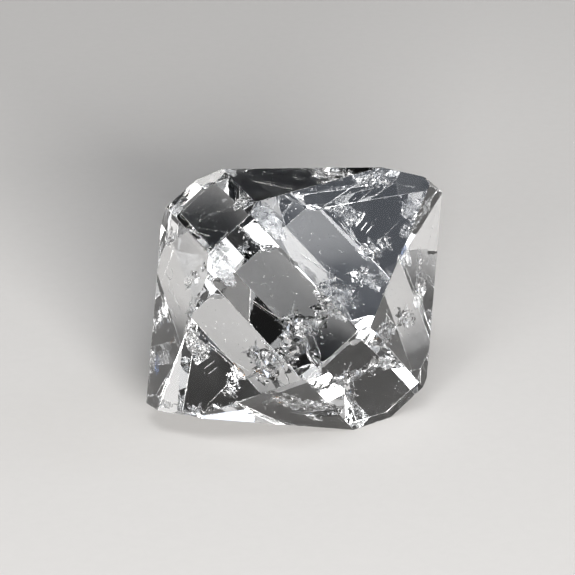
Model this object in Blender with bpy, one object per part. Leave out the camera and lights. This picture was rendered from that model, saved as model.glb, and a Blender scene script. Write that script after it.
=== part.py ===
"""Doubly terminated quartz crystal, clear, lying on one of its end faces.

Units are metres, +Z is up, +X runs to the right and +Y away from the viewer.
The origin is the centre of the bounding box at floor level.

The crystal is one solid. It starts as a block and is cut by the eighteen
natural planes of quartz: six prism faces round the long axis and six rhomb
faces at each end. Each plane has its own distance from the middle, as a real
crystal grows unevenly. Worn corners, a broken underside and a few shell-shaped
chips are then taken off.
"""

import math

import bmesh
import bpy
from mathutils import Matrix, Vector

MM = 0.001

# Growth law of quartz and the way the crystal lies
RHOMB_SLOPE_DEG = 51.79          # between a rhomb face normal and the long axis
AXIS_RISE_DEG = 90.0 - RHOMB_SLOPE_DEG   # long axis above the floor, resting on a rhomb
AXIS_HEADING_DEG = 18.85         # long axis seen from above, from +X towards +Y
FACE_STEP_DEG = 60.0             # prism and rhomb faces follow each other round the axis

# Distance of each face from the middle of the crystal, in millimetres. Place 0
# is the uppermost side of the long axis, then one step at a time towards the viewer.
PRISM_DISTANCES_MM = (11.40, 10.92, 10.35, 11.26, 11.85, 10.52)
UPPER_RHOMB_DISTANCES_MM = (10.88, 9.88, 9.98, 11.17, 10.67, 8.80)
LOWER_RHOMB_DISTANCES_MM = (10.42, 10.92, 10.33, 9.23, 10.45, 10.33)

BLOCK_SIDE_MM = 60.0             # starting block, larger than the crystal all round
WELD_MM = 0.01                   # corners closer than this are one corner

# Flat chips: a point on the chip and its outward direction, from the middle
BROKEN_UNDERSIDE = ((4.78, -5.54, -9.23), (-0.127, -0.219, -0.967))
LOWER_TIP_CHIP = ((-11.90, -3.90, -7.60), (-0.838, -0.313, -0.447))
UPPER_TIP_CHIP = ((12.20, 4.30, 7.90), (0.820, -0.050, 0.570))
UPPER_EDGE_CHIP = ((11.30, 2.90, 9.28), (0.520, -0.020, 0.854))
FLAT_CHIPS = (BROKEN_UNDERSIDE, LOWER_TIP_CHIP, UPPER_TIP_CHIP, UPPER_EDGE_CHIP)

# Shell-shaped chips: centre, half sizes along its own axes, turn about the
# viewing axis in degrees, all from the middle of the crystal
TIP_HOLLOW = ((-9.62, -9.20, -9.88), (3.90, 3.90, 3.90), 0.0)
TIP_NICK = ((-8.18, -8.10, -7.62), (1.00, 1.40, 1.10), 0.0)
EDGE_FLAKE = ((1.84, -8.70, -7.29), (3.20, 1.20, 1.20), -14.0)
BACK_EDGE_FLAKE = ((-1.90, 14.05, -0.10), (1.60, 1.60, 1.60), 0.0)
SHELL_CHIPS = (TIP_HOLLOW, TIP_NICK, EDGE_FLAKE, BACK_EDGE_FLAKE)
SHELL_RINGS = 20
SHELL_SEGMENTS = 40

QUARTZ_COLOUR = (0.88, 0.90, 0.92, 0.25)
QUARTZ_ROUGHNESS = 0.03


def crystal_frame():
    """Return the long axis and the two directions across it."""
    rise = math.radians(AXIS_RISE_DEG)
    heading = math.radians(AXIS_HEADING_DEG)
    axis = Vector((
        math.cos(rise) * math.cos(heading),
        math.cos(rise) * math.sin(heading),
        math.sin(rise),
    ))
    upward = Vector((
        -math.sin(rise) * math.cos(heading),
        -math.sin(rise) * math.sin(heading),
        math.cos(rise),
    ))
    return axis, upward, axis.cross(upward)


def growth_planes():
    """Return (outward direction, distance in metres) for every natural face."""
    axis, upward, sideward = crystal_frame()
    slope = math.radians(RHOMB_SLOPE_DEG)
    families = (
        (PRISM_DISTANCES_MM, 1.0, 0.0),
        (UPPER_RHOMB_DISTANCES_MM, math.sin(slope), math.cos(slope)),
        (LOWER_RHOMB_DISTANCES_MM, math.sin(slope), -math.cos(slope)),
    )
    planes = []
    for distances_mm, across, along in families:
        for place, distance_mm in enumerate(distances_mm):
            turn = math.radians(FACE_STEP_DEG * place)
            radial = upward * math.cos(turn) + sideward * math.sin(turn)
            planes.append((radial * across + axis * along, distance_mm * MM))
    return planes


def cut_away(mesh, point, outward):
    """Remove everything beyond a plane and close the cut with one face."""
    parts = mesh.verts[:] + mesh.edges[:] + mesh.faces[:]
    result = bmesh.ops.bisect_plane(
        mesh, geom=parts, plane_co=point, plane_no=outward, clear_outer=True,
    )
    rim = [item for item in result["geom_cut"] if isinstance(item, bmesh.types.BMEdge)]
    if rim:
        bmesh.ops.contextual_create(mesh, geom=rim)


def build_faceted_body():
    """Cut the block by the growth planes, then by the flat chips."""
    mesh = bmesh.new()
    bmesh.ops.create_cube(mesh, size=BLOCK_SIDE_MM * MM)
    for outward, distance in growth_planes():
        cut_away(mesh, outward * distance, outward)
    for point_mm, outward in FLAT_CHIPS:
        cut_away(mesh, Vector(point_mm) * MM, Vector(outward).normalized())
    bmesh.ops.remove_doubles(mesh, verts=mesh.verts[:], dist=WELD_MM * MM)
    bmesh.ops.recalc_face_normals(mesh, faces=mesh.faces[:])
    return mesh


def new_collection(name):
    """Make a collection under the scene."""
    collection = bpy.data.collections.new(name)
    bpy.context.scene.collection.children.link(collection)
    return collection


def add_object(name, mesh, collection):
    """Turn a finished bmesh into a named object in its collection."""
    data = bpy.data.meshes.new(name)
    mesh.to_mesh(data)
    mesh.free()
    solid = bpy.data.objects.new(name, data)
    collection.objects.link(solid)
    return solid


def shell_cutter(name, chip, collection):
    """Make one rounded cutter for a shell-shaped chip."""
    centre_mm, half_sizes_mm, turn_deg = chip
    mesh = bmesh.new()
    bmesh.ops.create_uvsphere(
        mesh, u_segments=SHELL_SEGMENTS, v_segments=SHELL_RINGS, radius=MM,
    )
    place = Matrix.Translation(Vector(centre_mm) * MM)
    turn = Matrix.Rotation(math.radians(-turn_deg), 4, "Y")
    size = Matrix.Diagonal((*half_sizes_mm, 1.0))
    bmesh.ops.transform(mesh, matrix=place @ turn @ size, verts=mesh.verts[:])
    cutter = add_object(name, mesh, collection)
    cutter.hide_render = True
    cutter.display_type = "WIRE"
    return cutter


def take_off_shells(crystal, collection):
    """Boolean every shell-shaped chip out of the crystal and keep the result."""
    for number, chip in enumerate(SHELL_CHIPS, start=1):
        cutter = shell_cutter(f"chip_cutter_{number}", chip, collection)
        cut = crystal.modifiers.new(f"chip_{number}", "BOOLEAN")
        cut.operation = "DIFFERENCE"
        cut.solver = "EXACT"
        cut.object = cutter
    bpy.context.view_layer.update()
    graph = bpy.context.evaluated_depsgraph_get()
    finished = bpy.data.meshes.new_from_object(crystal.evaluated_get(graph))
    crystal.modifiers.clear()
    crystal.data = finished
    crystal.data.name = crystal.name


def settle_on_floor(crystal):
    """Put the bottom of the crystal at height zero and centre it over the origin."""
    corners = [vertex.co for vertex in crystal.data.vertices]
    low = [min(corner[side] for corner in corners) for side in range(3)]
    high = [max(corner[side] for corner in corners) for side in range(3)]
    shift = Vector((-(low[0] + high[0]) / 2, -(low[1] + high[1]) / 2, -low[2]))
    crystal.data.transform(Matrix.Translation(shift))
    for cutter in bpy.data.collections["chip_cutters"].objects:
        cutter.location = shift


def quartz_material():
    """Clear colourless quartz."""
    material = bpy.data.materials.new("clear_quartz")
    material.use_nodes = True
    surface = material.node_tree.nodes["Principled BSDF"]
    surface.inputs["Base Color"].default_value = QUARTZ_COLOUR
    surface.inputs["Roughness"].default_value = QUARTZ_ROUGHNESS
    surface.inputs["Metallic"].default_value = 0.0
    return material


def main():
    """Build the crystal from an empty scene."""
    for old in list(bpy.data.objects):
        bpy.data.objects.remove(old, do_unlink=True)
    body_collection = new_collection("herkimer_diamond")
    cutter_collection = new_collection("chip_cutters")
    crystal = add_object("quartz_crystal", build_faceted_body(), body_collection)
    take_off_shells(crystal, cutter_collection)
    settle_on_floor(crystal)
    crystal.data.materials.clear()
    crystal.data.materials.append(quartz_material())


main()
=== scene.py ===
"""Look of a clear, doubly terminated quartz crystal lying on one end face.

The skin is worked out from the growth planes of quartz, with growth steps,
worn edges and shell-shaped chips. A healed crack with its cavities, open and
crumpled cracks, threads and specks are sealed in it. Size fields are
millimetres, and places are measured from the middle of the crystal; meshes
are in metres.
"""

import logging
import math
from dataclasses import dataclass, field, replace
from enum import Enum

import bpy
import numpy as np
from mathutils import Matrix, Vector


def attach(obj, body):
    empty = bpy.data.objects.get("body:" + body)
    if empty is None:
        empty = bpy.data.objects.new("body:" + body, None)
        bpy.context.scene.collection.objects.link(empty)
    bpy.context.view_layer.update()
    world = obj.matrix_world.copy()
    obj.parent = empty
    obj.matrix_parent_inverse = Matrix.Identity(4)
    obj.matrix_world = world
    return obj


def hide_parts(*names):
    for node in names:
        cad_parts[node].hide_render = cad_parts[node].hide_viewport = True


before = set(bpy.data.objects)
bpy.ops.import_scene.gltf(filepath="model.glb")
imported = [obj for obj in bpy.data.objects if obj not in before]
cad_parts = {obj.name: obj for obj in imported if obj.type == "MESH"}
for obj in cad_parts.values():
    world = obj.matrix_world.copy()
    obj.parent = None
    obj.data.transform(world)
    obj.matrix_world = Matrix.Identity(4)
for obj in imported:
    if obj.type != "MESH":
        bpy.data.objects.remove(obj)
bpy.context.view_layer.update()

LOG = logging.getLogger("crystal")
MM = 0.001
QUARTZ_IOR = 1.544
GAS_IN_QUARTZ_IOR = 1.0 / QUARTZ_IOR
BODY = "root"
LATTICE_RISE = 0.866             # height of a row in a lattice of equal triangles, in cells
RIM_CELL = 0.8                   # noise cell for the outline of a crack, on a circle of radius one

Triple = tuple[float, float, float]


class Face(Enum):
    """Natural faces that carry a growth step, by plane number."""

    FAR_PRISM = 4
    FAR_LEFT_PRISM = 5
    TOP_RHOMB = 6
    FAR_RHOMB = 10


class Wall(Enum):
    """How the wall of a sealed piece is shaded."""

    SMOOTH = "smooth"
    FACETED = "faceted"


# Arrays and meshes


def unit(vectors: np.ndarray) -> np.ndarray:
    """Scale vectors to length one along their last axis."""
    return vectors / np.maximum(np.linalg.norm(vectors, axis=-1, keepdims=True), 1e-12)


def lattice_noise(points: np.ndarray, scale: float, seed: int) -> np.ndarray:
    """Smooth noise between 0 and 1.

    Each corner of a cubic lattice gets a repeatable number, and a point takes
    the smooth mix of its eight corners.

    Args:
        points: (..., 3) positions.
        scale: size of one lattice cell, in the same unit.
        seed: picks another set of corner numbers.

    Returns:
        Noise values, one for each position.
    """
    cell = points / scale
    base = np.floor(cell)
    part = cell - base
    part = part * part * (3.0 - 2.0 * part)
    total = np.zeros(points.shape[:-1])
    for corner in range(8):
        step = np.array([corner & 1, (corner >> 1) & 1, (corner >> 2) & 1], float)
        value = np.sin((base + step) @ np.array([127.1, 311.7, 74.7]) + 19.19 * seed) * 43758.5453
        value -= np.floor(value)
        total += value * np.prod(np.where(step > 0, part, 1.0 - part), axis=-1)
    return total


def signed_noise(points: np.ndarray, scale: float, seed: int) -> np.ndarray:
    """Smooth noise between -1 and 1; see lattice_noise."""
    return 2 * lattice_noise(points, scale, seed) - 1


def circle_points(turn: np.ndarray, level: float) -> np.ndarray:
    """Points on a circle of radius one, all at the same level above its plane."""
    return np.stack([np.cos(turn), np.sin(turn), np.full(len(turn), level)], axis=1)


def frames_from(normals: np.ndarray, turns: np.ndarray) -> np.ndarray:
    """Make right-handed frames whose third axis is the normal.

    Args:
        normals: (n, 3) unit vectors.
        turns: (n,) turn of the first axis round the normal, in radians.

    Returns:
        (n, 3, 3) matrices with the three axes as columns.
    """
    guide = np.where(np.abs(normals[:, 2:3]) < 0.9, [[0.0, 0.0, 1.0]], [[1.0, 0.0, 0.0]])
    side = unit(np.cross(guide, normals))
    other = np.cross(normals, side)
    first = side * np.cos(turns)[:, None] + other * np.sin(turns)[:, None]
    return np.stack([first, np.cross(normals, first), normals], axis=2)


@dataclass
class MeshArrays:
    """Points and faces of one mesh, joined from several surfaces."""

    points: list[np.ndarray] = field(default_factory=list)
    faces: list[np.ndarray] = field(default_factory=list)
    total: int = 0

    def add(self, points: np.ndarray, *faces: np.ndarray) -> None:
        """Add a surface.

        Args:
            points: (n, 3) positions.
            faces: arrays of corner numbers, counted from this surface's first point.
        """
        self.points.append(points)
        self.faces.extend(block + self.total for block in faces)
        self.total += len(points)

    def object(self, name: str, wall: Wall = Wall.SMOOTH) -> bpy.types.Object:
        """Put everything into a new object at the origin."""
        mesh = bpy.data.meshes.new(name)
        rows = [row for block in self.faces for row in block.tolist()]
        mesh.from_pydata((np.vstack(self.points) * MM).tolist(), [], rows)
        mesh.validate()
        mesh.update()
        if wall is Wall.SMOOTH:
            mesh.shade_smooth()
        piece = bpy.data.objects.new(name, mesh)
        bpy.context.scene.collection.objects.link(piece)
        return piece


def closed_rows(rows: int, turns: int) -> tuple[np.ndarray, np.ndarray]:
    """Faces of a closed form made of rows of points between two poles.

    Point 0 is the first pole, then come the rows, then the last pole. Turns
    run anticlockwise seen from outside the last pole.

    Returns:
        Quads between the rows, and triangles at the poles.
    """
    here = np.arange(turns)
    after = (here + 1) % turns
    base = 1 + np.arange(rows - 1)[:, None] * turns
    quads = np.stack([base + here, base + after, base + turns + after, base + turns + here], axis=2)
    end = 1 + (rows - 1) * turns
    last = rows * turns + 1
    low = np.stack([np.zeros(turns, int), 1 + after, 1 + here], axis=1)
    high = np.stack([np.full(turns, last), end + here, end + after], axis=1)
    return quads.reshape(-1, 4), np.vstack([low, high])


def blob_shells(
    centres: np.ndarray, halves: np.ndarray, frames: np.ndarray, lumps: np.ndarray,
) -> MeshArrays:
    """Many small closed blobs in one mesh.

    A point is the blob's centre plus its frame times its half sizes times the
    direction at (row, turn) on a ball, scaled by one plus the lump there.

    Args:
        centres: (n, 3) middles.
        halves: (n, 3) half sizes along the frame's axes.
        frames: (n, 3, 3) axes as columns.
        lumps: (n, rows, turns) relative bulge of each point.

    Returns:
        The joined mesh arrays.
    """
    count, rows, turns = lumps.shape
    rise = np.pi * (np.arange(rows) + 1) / (rows + 1)
    turn = 2 * np.pi * np.arange(turns) / turns
    ball = np.stack([
        np.sin(rise)[:, None] * np.cos(turn),
        np.sin(rise)[:, None] * np.sin(turn),
        np.repeat(-np.cos(rise)[:, None], turns, axis=1),
    ], axis=2)
    grid = (ball[None] * (1.0 + lumps[..., None])).reshape(count, rows * turns, 3)
    low_pole, high_pole = (np.tile([[[0.0, 0.0, end]]], (count, 1, 1)) for end in (-1.0, 1.0))
    local = np.concatenate([low_pole, grid, high_pole], axis=1)
    placed = np.einsum("nij,nkj->nki", frames, local * halves[:, None]) + centres[:, None]
    quads, tris = closed_rows(rows, turns)
    step = (np.arange(count) * (rows * turns + 2))[:, None, None]
    mesh = MeshArrays()
    mesh.add(placed.reshape(-1, 3), (quads[None] + step).reshape(-1, 4), (tris[None] + step).reshape(-1, 3))
    return mesh


def smooth_path(knots: np.ndarray, count: int) -> np.ndarray:
    """Points on a smooth curve through the knots.

    Between two knots the curve is the cubic whose slope at each knot is half
    the way between its neighbours.
    """
    ends = np.vstack([2 * knots[0] - knots[1], knots, 2 * knots[-1] - knots[-2]])
    place = np.linspace(0, len(knots) - 1 - 1e-9, count)
    first = place.astype(int)
    t = (place - first)[:, None]
    a, b, c, d = (ends[first + k] for k in range(4))
    return 0.5 * (2 * b + (c - a) * t + (2 * a - 5 * b + 4 * c - d) * t**2 + (3 * b - a - 3 * c + d) * t**3)


def tube(path: np.ndarray, radii: np.ndarray, sides: int) -> tuple[np.ndarray, np.ndarray, np.ndarray]:
    """A closed tube along a path.

    Each path point carries a ring of its radius across the path, and a pole
    closes each end.

    Returns:
        Points, quads and triangles.
    """
    along = unit(np.gradient(path, axis=0))
    guide = np.array([0.21, 0.35, 0.91])
    side = unit(np.cross(along, guide))
    other = np.cross(along, side)
    turn = 2 * np.pi * np.arange(sides) / sides
    ring = side[:, None] * np.cos(turn)[:, None] + other[:, None] * np.sin(turn)[:, None]
    grid = path[:, None] + radii[:, None, None] * ring
    start = path[0] - along[0] * radii[0] * 0.5
    end = path[-1] + along[-1] * radii[-1] * 0.5
    quads, tris = closed_rows(len(path), sides)
    return np.vstack([start, grid.reshape(-1, 3), end]), quads, tris


# The crystal's form


@dataclass(frozen=True)
class GrowthStep:
    """A low growth step: beyond a line on a natural face the face leans inwards.

    The leaning side is to the right of the line, seen from outside.
    """

    face: Face
    through: Triple
    along: Triple
    lean_deg: float

    def plane(self, normals: np.ndarray, distances: np.ndarray) -> tuple[np.ndarray, float]:
        """Return the leaning plane's outward normal and its distance."""
        normal = normals[self.face.value]
        spot = np.array(self.through)
        spot = spot + normal * (distances[self.face.value] - normal @ spot)
        line = np.array(self.along)
        line = unit(line - normal * (normal @ line))
        lean = math.radians(self.lean_deg)
        leaning = normal * math.cos(lean) + np.cross(line, normal) * math.sin(lean)
        return leaning, float(leaning @ spot)


@dataclass(frozen=True)
class GrowthForm:
    """The planes that bound the crystal, measured from its middle."""

    rhomb_slope_deg: float = 51.79
    axis_heading_deg: float = 18.85
    face_step_deg: float = 60.0
    prism_mm: tuple[float, ...] = (11.40, 10.92, 10.35, 11.26, 11.85, 10.52)
    upper_rhomb_mm: tuple[float, ...] = (10.88, 9.88, 9.98, 11.17, 10.67, 8.80)
    lower_rhomb_mm: tuple[float, ...] = (10.42, 10.92, 10.33, 9.23, 10.45, 10.33)
    flat_chips: tuple[tuple[Triple, Triple], ...] = (
        ((4.78, -5.54, -9.23), (-0.127, -0.219, -0.967)),
        ((-11.90, -3.90, -7.60), (-0.838, -0.313, -0.447)),
        ((12.20, 4.30, 7.90), (0.820, -0.050, 0.570)),
        ((11.30, 2.90, 9.28), (0.520, -0.020, 0.854)),
    )
    steps: tuple[GrowthStep, ...] = (
        GrowthStep(Face.FAR_PRISM, (-3.3, 11.1, -4.4), (-0.85, -0.12, 0.51), 1.1),
        GrowthStep(Face.TOP_RHOMB, (-2.6, 2.4, 10.9), (-0.93, 0.36, 0.0), 0.8),
        GrowthStep(Face.FAR_RHOMB, (6.5, 8.2, 1.2), (0.40, -0.62, 0.67), 1.4),
        GrowthStep(Face.FAR_LEFT_PRISM, (-7.6, 7.4, 1.0), (-0.55, 0.05, -0.83), 1.3),
    )
    block_half_mm: float = 60.0
    hold_rounds: int = 4

    def axes(self) -> tuple[np.ndarray, np.ndarray, np.ndarray]:
        """Return the long axis and the two directions across it."""
        rise = math.radians(90.0 - self.rhomb_slope_deg)
        turn = math.radians(self.axis_heading_deg)
        level, lift = math.cos(rise), math.sin(rise)
        along = np.array([level * math.cos(turn), level * math.sin(turn), lift])
        upward = np.array([-lift * math.cos(turn), -lift * math.sin(turn), level])
        return along, upward, np.cross(along, upward)

    def planes(self) -> tuple[np.ndarray, np.ndarray]:
        """Work out every bounding plane.

        A prism normal lies across the long axis; a rhomb normal leans the
        slope angle from it. Normals turn one step at a time round the axis.

        Returns:
            (n, 3) outward normals and (n,) distances from the middle.
        """
        along, upward, sideward = self.axes()
        slope = math.radians(self.rhomb_slope_deg)
        normals, distances = [], []
        for sizes, across, lengthwise in (
            (self.prism_mm, 1.0, 0.0),
            (self.upper_rhomb_mm, math.sin(slope), math.cos(slope)),
            (self.lower_rhomb_mm, math.sin(slope), -math.cos(slope)),
        ):
            turn = np.radians(self.face_step_deg * np.arange(len(sizes)))
            radial = np.outer(np.cos(turn), upward) + np.outer(np.sin(turn), sideward)
            normals.append(radial * across + along * lengthwise)
            distances.append(np.array(sizes))
        all_normals, all_distances = np.vstack(normals), np.concatenate(distances)
        extra = [step.plane(all_normals, all_distances) for step in self.steps]
        for point, outward in self.flat_chips:
            direction = unit(np.array(outward))
            extra.append((direction, float(direction @ np.array(point))))
        all_normals = np.vstack([all_normals, *(normal[None] for normal, _ in extra)])
        return all_normals, np.append(all_distances, [distance for _, distance in extra])

    def polygons(self) -> list[tuple[int, np.ndarray]]:
        """Clip a large square on each plane by all the other planes.

        Returns:
            (plane number, (k, 3) corners, anticlockwise from outside).
        """
        normals, distances = self.planes()
        half = self.block_half_mm
        found = []
        for number, (normal, distance) in enumerate(zip(normals, distances)):
            side = unit(np.cross(normal, [0.31, 0.52, 0.79]))
            other = np.cross(normal, side)
            square = ((1, 1), (-1, 1), (-1, -1), (1, -1))
            poly = np.array([normal * distance + half * (a * side + b * other) for a, b in square])
            for cutter in range(len(normals)):
                if cutter == number or len(poly) == 0:
                    continue
                height = poly @ normals[cutter] - distances[cutter]
                kept = []
                for a in range(len(poly)):
                    b = (a + 1) % len(poly)
                    if height[a] <= 0:
                        kept.append(poly[a])
                    if (height[a] <= 0) != (height[b] <= 0):
                        share = height[a] / (height[a] - height[b])
                        kept.append(poly[a] + share * (poly[b] - poly[a]))
                poly = np.array(kept)
            if len(poly) >= 3:
                found.append((number, poly))
        return found

    def floor_offset(self) -> np.ndarray:
        """Return the move from the crystal's middle to the floor frame."""
        corners = np.vstack([poly for _, poly in replace(self, steps=()).polygons()])
        low, high = corners.min(0), corners.max(0)
        return np.array([-(low[0] + high[0]) / 2, -(low[1] + high[1]) / 2, -low[2]])

    def held_inside(self, points: np.ndarray, margin_mm: float) -> np.ndarray:
        """Push points back until they are the margin below every face.

        A point beyond a plane moves along the plane's normal by what it is
        beyond; a few rounds settle the corners.
        """
        normals, distances = self.planes()
        held = points.copy()
        for _ in range(self.hold_rounds):
            for normal, distance in zip(normals, distances):
                beyond = np.maximum(held @ normal - (distance - margin_mm), 0.0)
                held -= beyond[:, None] * normal
        return held


@dataclass(frozen=True)
class ShellChip:
    """A shell-shaped chip: an ellipsoid that is scooped out of the skin."""

    centre: Triple
    half: Triple
    turn_deg: float = 0.0
    ripple_mm: float = 0.012
    ripple_step_mm: float = 0.34
    ripple_fade: float = 30.0

    def press(self, points: np.ndarray) -> np.ndarray:
        """Move points inside the ellipsoid out to its wall, away from its centre.

        The wall's radius rises and falls a little with distance along the
        chip, which leaves the curved ripples of a shell-like break.
        """
        turn = math.radians(self.turn_deg)
        cosine, sine = math.cos(turn), math.sin(turn)
        spin = np.array([[cosine, 0, -sine], [0, 1, 0], [sine, 0, cosine]])
        local = (points - np.array(self.centre)) @ spin.T / np.array(self.half)
        reach = np.linalg.norm(local, axis=1)
        wave = np.sin(2 * math.pi * local[:, 0] * self.half[0] / self.ripple_step_mm)
        fade = np.clip((1.0 - reach) * self.ripple_fade, 0, 1)
        wall = 1.0 + self.ripple_mm / min(self.half) * wave * fade
        pushed = local / np.maximum(reach, 1e-9)[:, None] * wall[:, None]
        moved = np.where((reach < 1.0)[:, None], pushed, local)
        return moved * np.array(self.half) @ spin + np.array(self.centre)


@dataclass
class CrystalSkin:
    """The outer surface: flat faces joined by worn edges, with chips."""

    form: GrowthForm
    sample_mm: float = 0.20
    rings: int = 22
    ring_crowding: float = 1.7
    wear_mm: float = 0.022
    wear_cell_mm: float = 0.45
    wear_least: float = 0.7
    wear_varies: float = 0.6
    nick_mm: float = 0.13
    nick_cell_mm: float = 2.2
    nick_fine_share: float = 0.6
    nick_from: float = 0.56
    nick_rise: float = 0.2
    deepest_inset: float = 0.6
    ridge_pull: float = 0.60
    same_corner_mm: float = 2e-3
    sharp_deg: float = 6.0
    chips: tuple[ShellChip, ...] = (
        ShellChip((-9.62, -9.20, -9.88), (3.90, 3.90, 3.90)),
        ShellChip((-8.18, -8.10, -7.62), (1.00, 1.40, 1.10)),
        ShellChip((1.84, -8.70, -7.29), (3.20, 1.20, 1.20), -14.0),
        ShellChip((-1.90, 14.05, -0.10), (1.60, 1.60, 1.60)),
    )

    def boundary(self) -> tuple[np.ndarray, list[tuple[int, np.ndarray]]]:
        """Sample every edge once, so that two faces share the same points.

        Returns:
            (n, 3) boundary points, and for each face its plane number and the
            point numbers round it.
        """
        corners: list[np.ndarray] = []

        def corner_id(point: np.ndarray) -> int:
            """Find a corner already known, or add it."""
            for number, known in enumerate(corners):
                if np.linalg.norm(known - point) < self.same_corner_mm:
                    return number
            corners.append(point)
            return len(corners) - 1

        loops = []
        for number, poly in self.form.polygons():
            ids = [corner_id(point) for point in poly]
            ids = [a for k, a in enumerate(ids) if a != ids[k - 1]]
            if len(ids) >= 3:
                loops.append((number, ids))
        points = list(corners)
        edges: dict[tuple[int, int], list[int]] = {}
        faces = []
        for number, ids in loops:
            ring: list[int] = []
            for a, b in zip(ids, ids[1:] + ids[:1]):
                key = (min(a, b), max(a, b))
                if key not in edges:
                    start, end = corners[key[0]], corners[key[1]]
                    count = max(1, int(round(np.linalg.norm(end - start) / self.sample_mm)))
                    shares = np.arange(1, count) / count
                    first = len(points)
                    points.extend(start + shares[:, None] * (end - start))
                    edges[key] = list(range(first, first + count - 1))
                middle = edges[key] if a < b else edges[key][::-1]
                ring.extend([a, *middle])
            faces.append((number, np.array(ring)))
        return np.array(points), faces

    def wear(self, points: np.ndarray) -> np.ndarray:
        """Width of the worn edge at each boundary point, wider at nicks."""
        fine = lattice_noise(points, self.wear_cell_mm, 3)
        coarse = lattice_noise(points, self.nick_cell_mm, 7)
        mixed = fine * self.nick_fine_share + coarse * (1 - self.nick_fine_share)
        nick = np.clip((mixed - self.nick_from) / self.nick_rise, 0, 1) ** 2
        return self.wear_mm * (self.wear_least + self.wear_varies * fine) + self.nick_mm * nick

    def build(self) -> bpy.types.Object:
        """Build the skin as rings on every face.

        On a face, a point's place is its boundary point moved towards the
        face's centre: first to the inner side of the worn strip, then by
        growing shares of the way. Each boundary point is pulled part of the
        way to the mean of its first ring neighbours on all its faces.

        Returns:
            The closed skin object, with the attribute edge_wear.
        """
        normals, _ = self.form.planes()
        points, faces = self.boundary()
        width = self.wear(points)
        pull = np.zeros_like(points)
        count = np.zeros(len(points))
        layers, wears, quads, tris = [points], [np.ones(len(points))], [], []
        total = len(points)
        shares = (np.arange(self.rings) / self.rings) ** self.ring_crowding
        for number, ring in faces:
            rim = points[ring]
            nxt = np.roll(rim, -1, axis=0)
            area = np.cross(rim - rim[0], nxt - rim[0]) @ normals[number]
            centre = ((rim + nxt + rim[0]) / 3 * area[:, None]).sum(0) / area.sum()
            way = centre - rim
            length = np.linalg.norm(way, axis=1)
            way = way / length[:, None]
            inward = unit(np.cross(normals[number], nxt - rim))
            gap = ((rim[:, None] - rim[None]) * inward[None]).sum(2)
            slope = way @ inward.T
            need = (width[ring][:, None] - gap) / np.maximum(slope, 1e-3)
            inset = np.minimum(need.max(1), self.deepest_inset * length)
            first = rim + way * inset[:, None]
            np.add.at(pull, ring, first - rim)
            np.add.at(count, ring, 1.0)
            grid = first[None] + (centre - first)[None] * shares[:, None, None]
            n = len(ring)
            start = total
            layers.append(grid.reshape(-1, 3))
            layers.append(centre[None])
            wears.append(np.repeat((np.arange(self.rings) == 0).astype(float), n))
            wears.append(np.zeros(1))
            total += n * self.rings + 1
            here = np.arange(n)
            after = (here + 1) % n
            quads.append(np.stack([ring[here], ring[after], start + after, start + here], 1))
            for row in range(self.rings - 1):
                a = start + row * n
                quads.append(np.stack([a + here, a + after, a + n + after, a + n + here], 1))
            a = start + (self.rings - 1) * n
            tris.append(np.stack([a + here, a + after, np.full(n, total - 1)], 1))
        layers[0] = points + self.ridge_pull * pull / np.maximum(count, 1)[:, None]
        verts = np.vstack(layers)
        for chip in self.chips:
            verts = chip.press(verts)
        verts = verts + self.form.floor_offset()
        verts[:, 2] = np.maximum(verts[:, 2], 0.0)
        mesh = MeshArrays()
        mesh.add(verts, np.vstack(quads), np.vstack(tris))
        skin = mesh.object("crystal_skin")
        skin.data.set_sharp_from_angle(angle=math.radians(self.sharp_deg))
        wear = skin.data.attributes.new("edge_wear", "FLOAT", "POINT")
        wear.data.foreach_set("value", np.concatenate(wears).astype(np.float32))
        return skin


# What is sealed in the crystal


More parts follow.
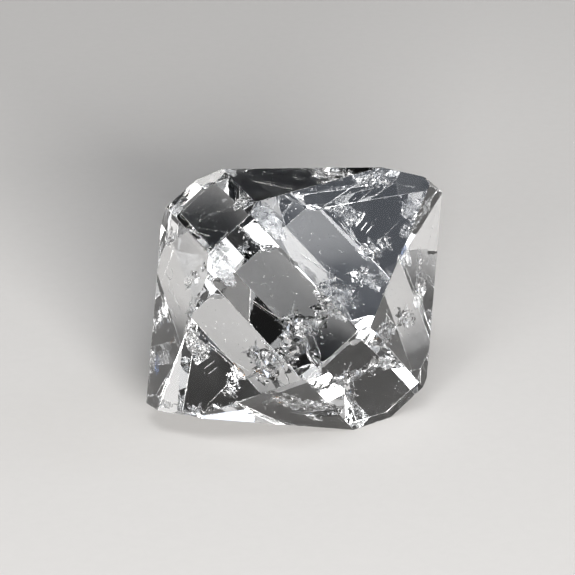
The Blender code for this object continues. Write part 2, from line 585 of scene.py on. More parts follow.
@dataclass(frozen=True)
class CrackFilm:
    """A thin gap left by a crack: two crinkled walls that close at its rim."""

    centre: Triple
    normal: Triple
    half_length: float
    half_width: float
    turn_deg: float = 0.0
    gap_mm: float = 0.012
    crinkle_mm: float = 0.06
    crinkle_step_mm: float = 0.35
    bow_mm: float = 0.10
    ragged: float = 0.25
    rim_waves: float = 1.9
    rim_ripples: float = 6.0
    ripple_share: float = 0.4
    coarse_steps: float = 2.4
    mean_ridge: float = 0.75
    least_gap: float = 0.02
    level_step_mm: float = 3.7
    seed: int = 1

    def surface(self, rows: int, turns: int) -> tuple[np.ndarray, np.ndarray, np.ndarray]:
        """Work out both walls.

        With r from 0 at the middle to 1 at the rim, a point lies r times the
        ragged outline along and across the crack. Its height is the bow times
        r squared plus ridged noise, and the walls stand half the gap times
        the root of 1 - r squared to either side.

        Args:
            rows: rings from the middle to the rim.
            turns: points round each ring.

        Returns:
            Points from the crystal's middle, quads and triangles.
        """
        frame_axes = frames_from(unit(np.array([self.normal])), np.radians([self.turn_deg]))[0]
        reach = np.concatenate([np.arange(1, rows), np.arange(rows, 0, -1)]) / rows
        sign = np.concatenate([-np.ones(rows - 1), [0.0], np.ones(rows - 1)])
        turn = 2 * np.pi * np.arange(turns) / turns
        circle = circle_points(turn, float(self.seed))
        outline = 1.0 + self.ragged * signed_noise(circle * self.rim_waves, RIM_CELL, self.seed)
        ripples = signed_noise(circle * self.rim_ripples, RIM_CELL, self.seed + 5)
        outline += self.ripple_share * self.ragged * ripples
        flat = reach[:, None, None] * outline[None, :, None] * circle[None, :, :2]
        flat = flat * np.array([self.half_length, self.half_width])
        flat = np.concatenate([np.zeros((1, 2)), flat.reshape(-1, 2), np.zeros((1, 2))])
        spot = np.concatenate([flat, np.full((len(flat), 1), self.level_step_mm * self.seed)], axis=1)
        coarse_step = self.crinkle_step_mm * self.coarse_steps
        coarse = 1.0 - np.abs(signed_noise(spot, coarse_step, self.seed + 1))
        fine = 1.0 - np.abs(signed_noise(spot, self.crinkle_step_mm, self.seed + 2))
        out = np.concatenate([[0.0], np.repeat(reach, turns), [0.0]])
        side = np.concatenate([[-1.0], np.repeat(sign, turns), [1.0]])
        height = self.bow_mm * out**2 + self.crinkle_mm * (coarse + 0.5 * fine - self.mean_ridge)
        height += side * 0.5 * self.gap_mm * np.sqrt(np.clip(1 - out**2, self.least_gap, 1))
        local = np.concatenate([flat, height[:, None]], axis=1)
        quads, tris = closed_rows(2 * rows - 1, turns)
        return local @ frame_axes.T + np.array(self.centre), quads, tris


@dataclass(frozen=True)
class CrumpledCrack:
    """A crack crumpled into flat facets: two walls joined by a thin side wall."""

    centre: Triple
    normal: Triple
    half_length: float
    half_width: float
    turn_deg: float = 0.0
    cell_mm: float = 0.24
    crumple_mm: float = 0.15
    fold_mm: float = 0.30
    fold_step_mm: float = 0.9
    gap_mm: float = 0.03
    gap_spread: tuple[float, float] = (0.4, 1.6)
    rim_share: float = 0.35
    ragged: float = 0.45
    shake: float = 0.28
    rim_waves: float = 2.2
    rim_level: float = 2.3
    level_step_mm: float = 3.1
    seed: int = 1

    def surface(self) -> tuple[np.ndarray, np.ndarray, np.ndarray]:
        """Work out both walls on a shaken triangle lattice.

        A lattice point is kept while it lies inside an ellipse with a ragged
        rim. Its height is the fold, a smooth noise, plus a random part that
        tips every facet its own way. The walls stand half the gap to either
        side, closer together on the rim, and a strip along the rim joins them.

        Returns:
            Points from the crystal's middle, triangles, and the rim's quads.
        """
        rng = np.random.default_rng(self.seed)
        cols = 2 * int(self.half_length * (1 + self.ragged) / self.cell_mm) + 3
        rows = 2 * int(self.half_width * (1 + self.ragged) / (LATTICE_RISE * self.cell_mm)) + 3
        col, row = np.meshgrid(np.arange(cols), np.arange(rows))
        flat = np.stack([col - cols / 2 + 0.5 * (row % 2), LATTICE_RISE * (row - rows / 2)], axis=2)
        flat = flat.reshape(-1, 2) * self.cell_mm
        flat = flat + rng.uniform(-self.shake, self.shake, (rows * cols, 2)) * self.cell_mm
        turn = np.arctan2(flat[:, 1] / self.half_width, flat[:, 0] / self.half_length)
        circle = circle_points(turn, self.rim_level * self.seed)
        rim = 1.0 + self.ragged * signed_noise(circle * self.rim_waves, RIM_CELL, self.seed)
        kept = np.hypot(flat[:, 0] / self.half_length, flat[:, 1] / self.half_width) < rim
        corner = (row * cols + col)[:-1, :-1].reshape(-1)
        odd = (row % 2)[:-1, :-1].reshape(-1)
        right, above, across = corner + 1, corner + cols, corner + cols + 1
        tris = np.vstack([
            np.stack([corner, right, np.where(odd == 1, across, above)], axis=1),
            np.stack([np.where(odd == 1, corner, right), across, above], axis=1),
        ])
        tris = tris[kept[tris].all(axis=1)]
        used, tris = np.unique(tris, return_inverse=True)
        tris = tris.reshape(-1, 3)
        flat = flat[used]
        edges = np.vstack([tris[:, [0, 1]], tris[:, [1, 2]], tris[:, [2, 0]]])
        _, first, met = np.unique(np.sort(edges, axis=1), axis=0, return_index=True, return_counts=True)
        rim_edges = edges[first[met == 1]]
        on_rim = np.zeros(len(flat), bool)
        on_rim[rim_edges.reshape(-1)] = True
        spot = np.column_stack([flat, np.full(len(flat), self.level_step_mm * self.seed)])
        height = self.fold_mm * signed_noise(spot, self.fold_step_mm, self.seed + 1)
        height = height + self.crumple_mm * rng.uniform(-1, 1, len(flat))
        open_by = 0.5 * self.gap_mm * rng.uniform(*self.gap_spread, len(flat))
        open_by = open_by * np.where(on_rim, self.rim_share, 1.0)
        walls = np.vstack([np.column_stack([flat, height + part]) for part in (open_by, -open_by)])
        axes = frames_from(unit(np.array([self.normal])), np.radians([self.turn_deg]))[0]
        below = len(flat)
        strip = np.column_stack([rim_edges + below, rim_edges[:, ::-1]])
        points = walls @ axes.T + np.array(self.centre)
        return points, np.vstack([tris, tris[:, ::-1] + below]), strip


@dataclass
class SealedWork:
    """What every maker of sealed pieces needs."""

    form: GrowthForm
    margin_mm: float = 0.05

    def finish(
        self, mesh: MeshArrays, name: str, wall: Wall, look: bpy.types.Material,
    ) -> bpy.types.Object:
        """Args:
            mesh: arrays measured from the crystal's middle.
            name: the piece's name.
            wall: how its wall is shaded.
            look: its material.

        Returns:
            The finished piece.
        """
        held = self.form.held_inside(np.vstack(mesh.points), self.margin_mm)
        mesh.points = [held + self.form.floor_offset()]
        piece = mesh.object(name, wall)
        piece.data.materials.append(look)
        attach(piece, BODY)
        LOG.info("%s: %d faces", name, len(piece.data.polygons))
        return piece


@dataclass
class HealedCrack(SealedWork):
    """A crack across the middle that grew shut and left flat cavities.

    The crack is a bent sheet: a point at (a, b) along and across it lies
    a and b from the centre, raised by the bends times a squared and b squared.
    """

    centre: Triple = (1.3, 2.3, -3.75)
    along: Triple = (0.33, 0.94, -0.03)
    normal: Triple = (0.15, -0.10, 0.98)
    half_length: float = 5.6
    half_width: float = 2.1
    bend_along: float = 0.012
    bend_across: float = -0.05
    cavities: int = 200
    small_mm: float = 0.04
    large_mm: float = 0.26
    thinnest: Triple = (0.7, 0.5, 0.12)
    fullest: Triple = (1.6, 1.1, 0.5)
    cavity_tilt: float = 0.45
    cavity_lump: float = 0.3
    cavity_rows: int = 4
    cavity_turns: int = 7
    crumpled: int = 46
    loose_share: float = 0.12
    heart_spread: tuple[float, float] = (1.15, 0.75)
    off_sheet_mm: float = 0.16
    shining_each: int = 3
    lean: float = 0.8
    reach_mm: tuple[float, float] = (0.6, 1.5)
    width_share: tuple[float, float] = (0.35, 0.8)
    cell_mm: tuple[float, float] = (0.32, 0.62)
    crumple_share: float = 0.55
    gap_mm: float = 0.05
    hearts: tuple[tuple[float, float, float], ...] = (
        (-0.2, 0.0, 1.0), (3.9, -0.2, 0.8), (1.2, 1.9, 0.8), (-5.6, 0.1, 0.7),
    )
    seed: int = 11

    def spots(self, rng: np.random.Generator, count: int) -> np.ndarray:
        """Scatter places on the sheet, crowded round its hearts."""
        hearts = np.array(self.hearts)
        pick = rng.integers(0, len(hearts), count)
        spread = rng.normal(size=(count, 2)) * hearts[pick, 2:3] * np.array(self.heart_spread)
        flat = hearts[pick, :2] + spread
        loose = rng.uniform(-1, 1, (count, 2)) * np.array([self.half_length, self.half_width])
        flat = np.where(rng.random((count, 1)) < self.loose_share, loose, flat)
        rise = self.bend_along * flat[:, 0] ** 2 + self.bend_across * flat[:, 1] ** 2
        rise = rise + rng.normal(size=count) * self.off_sheet_mm
        return self.on_sheet(np.column_stack([flat, rise]))

    def on_sheet(self, local: np.ndarray) -> np.ndarray:
        """Turn (along, across, above) into places in the crystal."""
        up = unit(np.array(self.normal))
        along = np.array(self.along)
        along = unit(along - up * (up @ along))
        return local @ np.stack([along, np.cross(up, along), up]) + np.array(self.centre)

    def build(self, glassy: bpy.types.Material, silvery: bpy.types.Material) -> list[bpy.types.Object]:
        """Build the cavities and the crumpled cracks between them.

        Args:
            glassy: look of a gas-filled cavity.
            silvery: look of a film that reflects.

        Returns:
            The pieces.
        """
        rng = np.random.default_rng(self.seed)
        centres = self.spots(rng, self.cavities)
        size = self.small_mm + (self.large_mm - self.small_mm) * rng.random(self.cavities) ** 3
        shape = rng.uniform(self.thinnest, self.fullest, (self.cavities, 3))
        tilt = unit(np.array(self.normal) + rng.normal(size=(self.cavities, 3)) * self.cavity_tilt)
        frames = frames_from(tilt, rng.uniform(0, 2 * np.pi, self.cavities))
        grid = (self.cavities, self.cavity_rows, self.cavity_turns)
        lumps = rng.uniform(-self.cavity_lump, self.cavity_lump, grid)
        cavities = blob_shells(centres, size[:, None] * shape, frames, lumps)
        crumpled, shining = MeshArrays(), MeshArrays()
        for number, spot in enumerate(self.spots(rng, self.crumpled)):
            lean = unit(np.array(self.normal) + rng.normal(size=3) * self.lean)
            reach = rng.uniform(*self.reach_mm)
            cell = rng.uniform(*self.cell_mm)
            crack = CrumpledCrack(
                tuple(spot), tuple(lean), reach, reach * rng.uniform(*self.width_share),
                rng.uniform(0, 360), cell, cell * self.crumple_share,
                gap_mm=self.gap_mm, seed=number + 3,
            )
            (shining if number % self.shining_each == 0 else crumpled).add(*crack.surface())
        return [
            self.finish(cavities, "healed_crack_cavities", Wall.FACETED, glassy),
            self.finish(crumpled, "healed_crack_crumples", Wall.FACETED, glassy),
            self.finish(shining, "healed_crack_films", Wall.FACETED, silvery),
        ]


@dataclass
class OpenCracks(SealedWork):
    """Cracks that still stand open a little, and shine where they reflect."""

    name: str = "rear_edge_cracks"
    cracks: tuple[CrackFilm, ...] = ()
    rows: int = 14
    turns: int = 44

    def build(self, look: bpy.types.Material) -> list[bpy.types.Object]:
        """Build every crack into one piece."""
        mesh = MeshArrays()
        for crack in self.cracks:
            mesh.add(*crack.surface(self.rows, self.turns))
        return [self.finish(mesh, self.name, Wall.SMOOTH, look)]


@dataclass
class CrumpledCracks(SealedWork):
    """Crumpled cracks joined into one faceted piece: bruises, veils and stained films."""

    name: str = "near_left_bruise"
    cracks: tuple[CrumpledCrack, ...] = ()

    def build(self, look: bpy.types.Material) -> list[bpy.types.Object]:
        """Build every crumpled crack into one piece."""
        mesh = MeshArrays()
        for crack in self.cracks:
            mesh.add(*crack.surface())
        return [self.finish(mesh, self.name, Wall.FACETED, look)]


@dataclass
class Threads(SealedWork):
    """Hair-thin hollow threads, loops and the rim of a round crack."""

    name: str = "hollow_threads"
    routes: tuple[tuple[Triple, ...], ...] = ()
    radius_mm: float = 0.035
    swell_cell_mm: float = 0.4
    thinnest: float = 0.7
    swell: float = 0.6
    tip_share: float = 0.25
    tip_growth: float = 6.0
    first_seed: int = 40
    count: int = 40
    sides: int = 7

    def build(self, look: bpy.types.Material) -> list[bpy.types.Object]:
        """Carry a ring along every route; its radius swells and shrinks a little."""
        mesh = MeshArrays()
        for number, route in enumerate(self.routes):
            path = smooth_path(np.array(route), self.count)
            share = np.linspace(0, 1, self.count)
            noise = lattice_noise(path, self.swell_cell_mm, self.first_seed + number)
            swell = self.thinnest + self.swell * noise
            tips = self.tip_share + self.tip_growth * np.minimum(share, 1 - share)
            radii = self.radius_mm * swell * np.minimum(1.0, tips)
            mesh.add(*tube(path, radii, self.sides))
        return [self.finish(mesh, self.name, Wall.SMOOTH, look)]


@dataclass
class Specks(SealedWork):
    """Single small cavities and grains spread through the crystal."""

    count: int = 90
    small_mm: float = 0.012
    large_mm: float = 0.05
    reach_mm: Triple = (9.5, 9.5, 8.0)
    least_depth_mm: float = 0.3
    places: tuple[tuple[float, float, float, float], ...] = ()
    chosen_share: float = 0.55
    stretch: tuple[float, float] = (0.6, 1.3)
    lump: float = 0.2
    rows: int = 3
    turns: int = 6
    seed: int = 5

    def build(self, look: bpy.types.Material) -> list[bpy.types.Object]:
        """Scatter blobs in the crystal, then add those at chosen places."""
        rng = np.random.default_rng(self.seed)
        loose = rng.uniform(-1, 1, (self.count, 3)) * np.array(self.reach_mm)
        size = self.small_mm + (self.large_mm - self.small_mm) * rng.random(self.count) ** 3
        chosen = np.array(self.places).reshape(-1, 4)
        centres = np.vstack([self.form.held_inside(loose, self.least_depth_mm), chosen[:, :3]])
        size = np.concatenate([size, self.chosen_share * chosen[:, 3]])
        total = len(centres)
        halves = size[:, None] * rng.uniform(*self.stretch, (total, 3))
        frames = frames_from(unit(rng.normal(size=(total, 3))), rng.uniform(0, 2 * np.pi, total))
        lumps = rng.uniform(-self.lump, self.lump, (total, self.rows, self.turns))
        mesh = blob_shells(centres, halves, frames, lumps)
        return [self.finish(mesh, "sealed_specks", Wall.SMOOTH, look)]


# Where the sealed pieces lie. A crack starts with its centre, normal, half length
# and half width; a speck is its place and its size.

REAR_EDGE_CRACKS = (
    CrackFilm(
        (2.5, 10.75, -4.0), (0.25, 0.93, 0.2), 0.80, 0.74,
        gap_mm=0.03, crinkle_mm=0.05, bow_mm=0.25, seed=2,
    ),
)
REAR_EDGE_FLOWER = (
    CrumpledCrack((3.6, 10.2, -3.1), (0.45, 0.70, 0.55), 1.2, 0.75, 30.0, 0.30, 0.15, 0.30, seed=61),
    CrumpledCrack((4.6, 9.4, -2.0), (0.20, 0.85, 0.48), 0.9, 0.50, 60.0, 0.26, 0.14, 0.25, seed=62),
)
REAR_LEFT_BRUISE = (
    CrackFilm((-6.0, 9.0, 0.5), (-0.55, 0.80, 0.25), 1.3, 0.9, 20.0, crinkle_mm=0.12, seed=21),
    CrackFilm((-5.7, 10.2, -1.2), (-0.30, 0.90, 0.30), 1.4, 0.9, 50.0, crinkle_mm=0.12, seed=22),
    CrackFilm((-5.3, 11.0, -2.6), (-0.45, 0.85, -0.10), 1.0, 0.7, 80.0, crinkle_mm=0.10, seed=23),
)
NEAR_LEFT_BRUISE = (
    CrumpledCrack((-8.05, -7.35, 0.5), (-0.60, -0.78, 0.1), 1.0, 0.55, 80.0, 0.16, 0.10, 0.15, seed=51),
    CrumpledCrack((-7.6, -7.45, -0.5), (-0.30, -0.93, -0.2), 1.2, 0.75, 100.0, 0.17, 0.11, 0.20, seed=52),
    CrumpledCrack((-7.15, -7.55, -1.5), (-0.55, -0.82, 0.2), 1.0, 0.60, 60.0, 0.16, 0.10, 0.15, seed=53),
    CrumpledCrack((-7.3, -7.2, -0.9), (-0.10, -0.90, -0.4), 0.9, 0.60, 30.0, 0.15, 0.11, 0.20, seed=54),
)
NEAR_VEILS = (
    CrumpledCrack((-7.6, -7.35, -0.3), (-0.47, -0.88, -0.07), 1.6, 0.70, 85.0, 0.20, 0.08, 0.20, seed=55),
    CrumpledCrack((10.0, -0.5, 2.9), (0.91, -0.41, 0.07), 2.5, 0.60, 75.0, 0.24, 0.10, 0.25, seed=56),
    CrumpledCrack((10.9, 1.9, 7.3), (0.60, -0.60, 0.50), 1.0, 0.55, 20.0, 0.20, 0.10, 0.20, seed=57),
    CrumpledCrack((-10.2, -6.3, -6.3), (-0.60, -0.75, -0.2), 1.0, 0.45, 10.0, 0.18, 0.10, 0.20, seed=58),
)
IRON_STAINS = (
    CrumpledCrack((-4.1, -9.5, -2.1), (-0.47, -0.88, -0.07), 0.9, 0.22, -45.0, 0.16, 0.04, 0.10, seed=71),
    CrumpledCrack((-1.4, -3.9, -3.3), (0.15, -0.60, 0.78), 0.45, 0.30, 20.0, 0.16, 0.06, 0.10, seed=72),
)
RAINBOW_FILMS = (
    CrumpledCrack((-10.95, -3.2, -4.2), (-0.93, -0.25, -0.25), 1.3, 0.70, 85.0, 0.34, 0.05, 0.15, seed=73),
)
THREAD_ROUTES = (
    ((-3.25, 10.42, -4.25), (-1.60, 10.28, -5.45), (0.25, 9.85, -6.50)),
    ((-8.00, -7.45, -1.30), (-7.45, -7.79, -0.75), (-6.90, -8.13, -0.20)),
    ((-7.67, -7.55, -1.72), (-7.17, -7.86, -1.22), (-6.70, -8.15, -0.75)),
    ((-7.34, -7.65, -2.14), (-6.84, -7.96, -1.64), (-6.42, -8.22, -1.22)),
    ((-7.01, -7.75, -2.56), (-6.56, -8.03, -2.11), (-6.12, -8.30, -1.67)),
    ((-6.68, -7.85, -2.98), (-6.28, -8.10, -2.58), (-5.90, -8.33, -2.20)),
    (
        (-9.65, 0.3, 2.5), (-9.2, -0.9, 2.3), (-9.0, -1.4, 2.9),
        (-9.1, -0.6, 3.1), (-9.3, -1.0, 1.9), (-8.9, -2.4, 1.4),
    ),
    ((-9.0, -1.6, 2.2), (-8.8, -2.5, 1.5), (-8.5, -3.9, 1.3), (-8.3, -4.8, 1.1)),
)
RING_ROUTES = (
    (
        (3.03, -9.22, 4.45), (2.56, -9.08, 4.82), (1.97, -9.16, 4.62), (1.87, -9.38, 4.05),
        (2.34, -9.52, 3.68), (2.92, -9.44, 3.88), (3.06, -9.34, 4.15),
    ),
)
SMOOTH_BREAK = (
    CrackFilm(
        (1.1, 1.6, -5.0), (0.742, 0.647, 0.170), 1.9, 1.0, 70.0,
        gap_mm=0.07, crinkle_mm=0.03, bow_mm=0.45, seed=31,
    ),
    CrackFilm(
        (1.6, -6.6, -6.6), (0.10, -0.55, 0.83), 1.8, 1.0, 0.0,
        gap_mm=0.08, crinkle_mm=0.03, bow_mm=0.35, seed=32,
    ),
)
CHOSEN_SPECKS = (
    (-2.47, 11.22, -3.09, 0.10), (-0.71, 11.45, -2.50, 0.08), (-1.65, 10.81, -4.02, 0.13),
    (0.18, 10.88, -3.82, 0.09), (-3.28, 11.29, -2.99, 0.07), (-2.21, 11.88, -1.57, 0.07),
    (0.15, 11.75, -1.81, 0.09), (-0.31, 11.41, -2.60, 0.08), (0.37, 10.85, -3.89, 0.11),
    (-2.57, 12.27, -0.68, 0.06), (0.43, 10.43, -4.89, 0.06), (-1.79, 11.03, -3.55, 0.06),
    (-2.94, 12.02, -1.33, 0.09), (-3.56, 11.43, -2.73, 0.08), (-2.29, 11.46, -2.61, 0.10),
    (-1.63, 11.31, -2.94, 0.08), (-1.65, 10.77, -4.21, 0.08), (1.31, 9.83, -6.32, 0.09),
    (-1.49, 10.42, -4.97, 0.08), (-0.46, 10.15, -5.57, 0.06),
)


# Finishes

IRON_BROWN = (0.62, 0.36, 0.15)
FILM_BLUE = (0.30, 0.50, 1.0)
WHITE = (1.0, 1.0, 1.0, 1.0)


class NodeTree:
    """Short helpers that place and join shader nodes in one tree."""

    def __init__(self, tree: bpy.types.NodeTree) -> None:
        """Keep the tree."""
        self.tree = tree

    def node(self, kind: str, **values: object) -> bpy.types.Node:
        """Add a node; a value whose name is a socket sets it, else a property."""
        return self.set_up(self.tree.nodes.new(kind), **values)

    @staticmethod
    def set_up(node: bpy.types.Node, **values: object) -> bpy.types.Node:
        """Give values to a node's own sockets and properties, and return it."""
        for key, value in values.items():
            label = key.replace("_", " ")
            if label in node.inputs:
                node.inputs[label].default_value = value
            else:
                setattr(node, key, value)
        return node

    def math(self, operation: str, first: object, second: object = 0.0) -> bpy.types.NodeSocket:
        """Add a Math node fed by sockets or numbers, and return its output."""
        made = self.node("ShaderNodeMath", operation=operation)
        for place, value in enumerate((first, second)):
            if isinstance(value, bpy.types.NodeSocket):
                self.tree.links.new(value, made.inputs[place])
            else:
                made.inputs[place].default_value = value
        return made.outputs[0]

    def join(self, source: bpy.types.NodeSocket, target: bpy.types.NodeSocket) -> None:
        """Link two sockets."""
        self.tree.links.new(source, target)


def new_group(
    name: str, inputs: dict[str, float], output: str,
) -> tuple[bpy.types.NodeTree, NodeTree, bpy.types.Node, bpy.types.Node]:
    """Start a shader node group with a Vector input, number inputs and one output.

    Args:
        name: the group's name.
        inputs: number inputs and their default values.
        output: name of the number output.

    Returns:
        The group, its helper, its input node and its output node.
    """
    group = bpy.data.node_groups.new(name, "ShaderNodeTree")
    group.interface.new_socket("Vector", in_out="INPUT", socket_type="NodeSocketVector")
    for label, value in inputs.items():
        socket = group.interface.new_socket(label, in_out="INPUT", socket_type="NodeSocketFloat")
        socket.default_value = value
    group.interface.new_socket(output, in_out="OUTPUT", socket_type="NodeSocketFloat")
    kit = NodeTree(group)
    return group, kit, kit.node("NodeGroupInput"), kit.node("NodeGroupOutput")


class Effects:
    """Shader node groups that several finishes share, each built once."""

    @staticmethod
    def ripple() -> bpy.types.NodeTree:
        """Height of fine growth ripples: long soft waves with finer ones on top."""
        if "growth_ripple" in bpy.data.node_groups:
            return bpy.data.node_groups["growth_ripple"]
        inputs = {"Waves": 600.0, "Fine": 2600.0, "Fine Share": 0.2}
        group, kit, source, result = new_group("growth_ripple", inputs, "Height")
        heights = []
        for label in ("Waves", "Fine"):
            noise = kit.node("ShaderNodeTexNoise", Detail=1.5, Roughness=0.5)
            kit.join(source.outputs["Vector"], noise.inputs["Vector"])
            kit.join(source.outputs[label], noise.inputs["Scale"])
            heights.append(noise.outputs["Fac"])
        fine = kit.math("MULTIPLY", heights[1], source.outputs["Fine Share"])
        kit.join(kit.math("ADD", heights[0], fine), result.inputs["Height"])
        return group

    @staticmethod
    def patches() -> bpy.types.NodeTree:
        """Mask of ragged patches, from 0 to 1."""
        if "ragged_patches" in bpy.data.node_groups:
            return bpy.data.node_groups["ragged_patches"]
        inputs = {"Scale": 2500.0, "Least": 0.0, "Most": 1.0}
        group, kit, source, result = new_group("ragged_patches", inputs, "Mask")
        noise = kit.node("ShaderNodeTexNoise", Detail=4.0, Roughness=0.65, Distortion=0.6)
        kit.join(source.outputs["Vector"], noise.inputs["Vector"])
        kit.join(source.outputs["Scale"], noise.inputs["Scale"])
        spread = kit.node("ShaderNodeMapRange", From_Min=0.36, From_Max=0.64)
        kit.join(noise.outputs["Fac"], spread.inputs["Value"])
        kit.join(source.outputs["Least"], spread.inputs["To Min"])
        kit.join(source.outputs["Most"], spread.inputs["To Max"])
        kit.join(spread.outputs["Result"], result.inputs["Mask"])
        return group


@dataclass(frozen=True)
class Finish:
    """What every finish shares: a Principled surface and Object coordinates."""

    name: str

    def start(self) -> tuple[bpy.types.Material, NodeTree, bpy.types.Node, bpy.types.NodeSocket]:
        """Return a new material, its helper, its surface node and its coordinates."""
        look = bpy.data.materials.new(self.name)
        look.use_nodes = True
        kit = NodeTree(look.node_tree)
        place = kit.node("ShaderNodeTexCoord").outputs["Object"]
        return look, kit, look.node_tree.nodes["Principled BSDF"], place

    @staticmethod
    def effect(
        kit: NodeTree, group: bpy.types.NodeTree, place: bpy.types.NodeSocket, **values: float,
    ) -> bpy.types.NodeSocket:
        """Place a shared effect and return its output."""
        made = kit.node("ShaderNodeGroup", node_tree=group)
        kit.join(place, made.inputs["Vector"])
        return kit.set_up(made, **values).outputs[0]

    @staticmethod
    def bump(
        kit: NodeTree, surface: bpy.types.Node, height: bpy.types.NodeSocket, depth_mm: float,
    ) -> None:
        """Feed a height to the surface's normal."""
        bump = kit.node("ShaderNodeBump", Strength=1.0, Distance=depth_mm * MM)
        kit.join(height, bump.inputs["Height"])
        kit.join(bump.outputs["Normal"], surface.inputs["Normal"])


@dataclass(frozen=True)
class ClearQuartz(Finish):
    """Bright, colourless quartz with faint growth ripples and frosted worn edges."""

    name: str = "clear_quartz_look"
    tint: Triple = (0.90, 0.95, 1.0)
    density: float = 6.0
    ripple_mm: float = 0.0012
    edge_frost: float = 0.30

    def material(self) -> bpy.types.Material:
        """Return the material."""
        look, kit, surface, place = self.start()
        kit.set_up(surface, Base_Color=WHITE, Metallic=0.0, IOR=QUARTZ_IOR, Transmission_Weight=1.0)
        height = self.effect(kit, Effects.ripple(), place, Waves=420.0, Fine=2400.0, Fine_Share=0.12)
        self.bump(kit, surface, height, self.ripple_mm)
        worn = kit.node("ShaderNodeAttribute", attribute_name="edge_wear").outputs["Fac"]
        frost = self.effect(kit, Effects.patches(), place, Scale=3200.0, Least=0.2, Most=1.0)
        rough = kit.math("MULTIPLY", kit.math("MULTIPLY", worn, frost), self.edge_frost)
        kit.join(rough, surface.inputs["Roughness"])
        absorb = kit.node("ShaderNodeVolumeAbsorption", Color=(*self.tint, 1.0), Density=self.density)
        kit.join(absorb.outputs["Volume"], look.node_tree.nodes["Material Output"].inputs["Volume"])
        return look


@dataclass(frozen=True)
class SealedGas(Finish):
    """Gas in a cavity: it mirrors what meets its wall at a low angle."""

    name: str = "sealed_gas"
    ripple_mm: float = 0.002

    def material(self) -> bpy.types.Material:
        """Return the material."""
        look, kit, surface, place = self.start()
        kit.set_up(surface, Base_Color=WHITE, Roughness=0.0, Transmission_Weight=1.0)
        kit.set_up(surface, IOR=GAS_IN_QUARTZ_IOR)
        height = self.effect(kit, Effects.ripple(), place, Waves=2500.0, Fine=7000.0, Fine_Share=0.3)
        self.bump(kit, surface, height, self.ripple_mm)
        return look


@dataclass(frozen=True)
class SilveryFilm(Finish):
    """Crumpled film of a crack: silvery where it is thick, clear in between."""

    name: str = "silvery_film"
    colour: Triple = (0.93, 0.94, 0.96)
    roughness: float = 0.28
    metallic: float = 0.6
    least: float = 0.0
    most: float = 0.85
    patch_scale: float = 2600.0
    ripple_mm: float = 0.02

    def material(self) -> bpy.types.Material:
        """Return the material."""
        look, kit, surface, place = self.start()
        kit.set_up(surface, Base_Color=(*self.colour, 1.0))
        kit.set_up(surface, Metallic=self.metallic, Roughness=self.roughness)
        shares = {"Least": self.least, "Most": self.most}
        mask = self.effect(kit, Effects.patches(), place, Scale=self.patch_scale, **shares)
        kit.join(mask, surface.inputs["Alpha"])
        height = self.effect(kit, Effects.ripple(), place, Waves=3000.0, Fine=9000.0, Fine_Share=0.4)
        self.bump(kit, surface, height, self.ripple_mm)
        return look


@dataclass(frozen=True)
class PaleFloorFinish(Finish):
    """Plain pale matt paper with a very fine grain."""

    name: str = "pale_floor"
    colour: Triple = (0.70, 0.695, 0.69)
    grain: float = 0.985
    roughness: float = 0.9
    shine: float = 0.1

    def material(self) -> bpy.types.Material:
        """Return the material."""
        look, kit, surface, place = self.start()
        mask = self.effect(kit, Effects.patches(), place, Scale=900.0, Least=0.0, Most=1.0)
        tone = kit.node("ShaderNodeMix", data_type="RGBA")
        kit.join(mask, tone.inputs["Factor"])
        tone.inputs["A"].default_value = (*(self.grain * value for value in self.colour), 1.0)
        tone.inputs["B"].default_value = (*self.colour, 1.0)
        kit.join(tone.outputs["Result"], surface.inputs["Base Color"])
        kit.set_up(surface, Roughness=self.roughness, Specular_IOR_Level=self.shine)
        return look


# Studio


@dataclass(frozen=True)
class Softbox:
    """A rectangular soft light aimed at the crystal."""

    name: str
    azimuth_deg: float
    elevation_deg: float
    distance_m: float
    width_m: float
    height_m: float
    power_w: float
    colour: Triple = (1.0, 1.0, 1.0)

    def place(self, target: Vector) -> None:
        """Add the light. Azimuth 0 is behind the crystal, 90 to its right."""
        turn, rise = math.radians(self.azimuth_deg), math.radians(self.elevation_deg)
        away = Vector((math.sin(turn) * math.cos(rise), math.cos(turn) * math.cos(rise), math.sin(rise)))
        data = bpy.data.lights.new(self.name, "AREA")
        data.shape = "RECTANGLE"
        data.size, data.size_y, data.energy = self.width_m, self.height_m, self.power_w
        data.color = self.colour
        lamp = bpy.data.objects.new(self.name, data)
        lamp.location = target + away * self.distance_m
        lamp.rotation_euler = away.to_track_quat("Z", "Y").to_euler()
        bpy.context.scene.collection.objects.link(lamp)


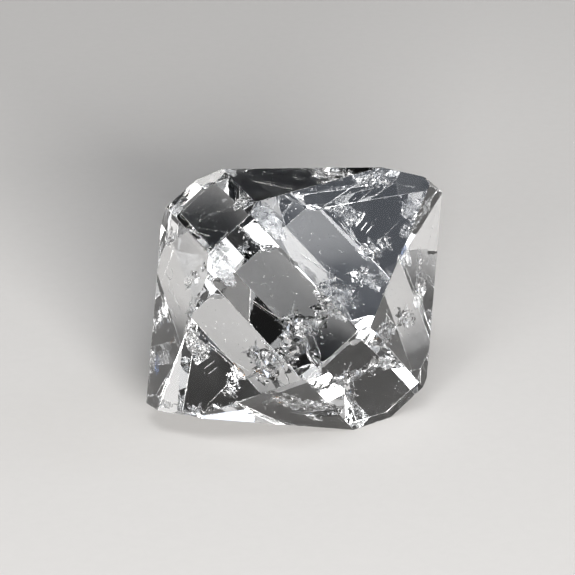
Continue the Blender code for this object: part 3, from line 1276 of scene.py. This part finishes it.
@dataclass
class Studio:
    """Floor, lights, world and camera."""

    middle: np.ndarray
    floor_half_m: float = 1.2
    floor_gap_mm: float = 0.02
    world_grey: float = 0.01
    light_target: Triple = (0.0, 0.0, 0.010)
    softboxes: tuple[Softbox, ...] = (
        Softbox("low_front", 170.0, 9.5, 1.20, 0.65, 0.35, 54.0, (1.0, 0.975, 0.945)),
        Softbox("low_front_left", 204.0, 14.0, 0.60, 0.16, 0.18, 1.2),
        Softbox("high_front", 190.0, 60.0, 0.60, 0.22, 0.22, 0.8),
        Softbox("high_front_right", 150.0, 52.0, 0.60, 0.30, 0.30, 0.5),
        Softbox("side_right", 82.0, 47.0, 0.60, 0.18, 0.18, 0.17, (0.80, 0.87, 1.0)),
    )
    camera_from_middle: Triple = (1.912, -231.971, 90.606)
    aim_from_middle: Triple = (-0.50, 8.78, -2.22)
    image_right: Triple = (0.99982, 0.0, -0.01911)
    lens_mm: float = 190.06
    sensor_mm: float = 36.0
    clip_m: tuple[float, float] = (0.01, 10.0)

    def floor(self) -> None:
        """Lay the floor just under the crystal."""
        half = self.floor_half_m / MM
        low = -self.floor_gap_mm
        square = ((-half, -half), (half, -half), (half, half), (-half, half))
        corners = np.array([(*spot, low) for spot in square])
        mesh = MeshArrays()
        mesh.add(corners, np.array([[0, 1, 2, 3]]))
        ground = mesh.object("floor", Wall.FACETED)
        ground.data.materials.append(PaleFloorFinish().material())

    def lights(self) -> None:
        """Hang the softboxes and set the even grey of the room."""
        for box in self.softboxes:
            box.place(Vector(self.light_target))
        world = bpy.data.worlds.new("studio_room")
        world.use_nodes = True
        room = world.node_tree.nodes["Background"]
        NodeTree.set_up(room, Color=WHITE, Strength=self.world_grey)
        bpy.context.scene.world = world

    def camera(self) -> None:
        """Stand the camera where the photograph was taken from."""
        data = bpy.data.cameras.new("photo_camera")
        data.lens, data.sensor_width = self.lens_mm, self.sensor_mm
        data.clip_start, data.clip_end = self.clip_m
        eye = Vector((self.middle + np.array(self.camera_from_middle)) * MM)
        aim = Vector((self.middle + np.array(self.aim_from_middle)) * MM)
        back = (eye - aim).normalized()
        right = Vector(self.image_right)
        right = (right - back * right.dot(back)).normalized()
        up = back.cross(right)
        camera = bpy.data.objects.new("photo_camera", data)
        turn = Matrix((right, up, back)).transposed().to_4x4()
        camera.matrix_world = Matrix.Translation(eye) @ turn
        bpy.context.scene.collection.objects.link(camera)
        bpy.context.scene.camera = camera

    def light_paths(self) -> None:
        """Let light pass through many clear faces."""
        scene = bpy.context.scene
        scene.cycles.max_bounces = 32
        scene.cycles.transmission_bounces = 28
        scene.cycles.glossy_bounces = 12
        scene.cycles.diffuse_bounces = 4
        scene.cycles.transparent_max_bounces = 24
        scene.cycles.caustics_refractive = False
        scene.cycles.use_denoising = True
        scene.view_settings.view_transform = "Standard"

    def build(self) -> None:
        """Set the whole stage."""
        self.floor()
        self.lights()
        self.camera()
        self.light_paths()


def main() -> None:
    """Build every piece, dress it and report it."""
    logging.basicConfig(level=logging.INFO, format="%(message)s")
    form = GrowthForm()
    skin = CrystalSkin(form).build()
    skin.data.materials.append(ClearQuartz().material())
    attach(skin, BODY)
    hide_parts("quartz_crystal")
    LOG.info("crystal_skin: %d faces", len(skin.data.polygons))
    gas, film = SealedGas().material(), SilveryFilm().material()
    stain = SilveryFilm(name="iron_stain", colour=IRON_BROWN, metallic=0.2, most=0.7).material()
    rainbow = SilveryFilm(
        name="rainbow_film", colour=FILM_BLUE, roughness=0.12, metallic=1.0, most=0.5,
    ).material()
    HealedCrack(form).build(gas, film)
    OpenCracks(form, name="rear_edge_cracks", cracks=REAR_EDGE_CRACKS).build(gas)
    OpenCracks(form, name="rear_left_bruise", cracks=REAR_LEFT_BRUISE).build(film)
    OpenCracks(form, name="smooth_break", cracks=SMOOTH_BREAK).build(gas)
    CrumpledCracks(form, name="near_left_bruise", cracks=NEAR_LEFT_BRUISE).build(gas)
    CrumpledCracks(form, name="rear_edge_flower", cracks=REAR_EDGE_FLOWER).build(gas)
    CrumpledCracks(form, name="near_veils", cracks=NEAR_VEILS).build(film)
    CrumpledCracks(form, name="iron_stains", cracks=IRON_STAINS).build(stain)
    CrumpledCracks(form, name="rainbow_films", cracks=RAINBOW_FILMS).build(rainbow)
    Threads(form, routes=THREAD_ROUTES).build(gas)
    Threads(form, name="ring_rim", routes=RING_ROUTES, radius_mm=0.075).build(gas)
    Specks(form, places=CHOSEN_SPECKS).build(gas)
    Studio(form.floor_offset()).build()


if __name__ == "__main__":
    main()
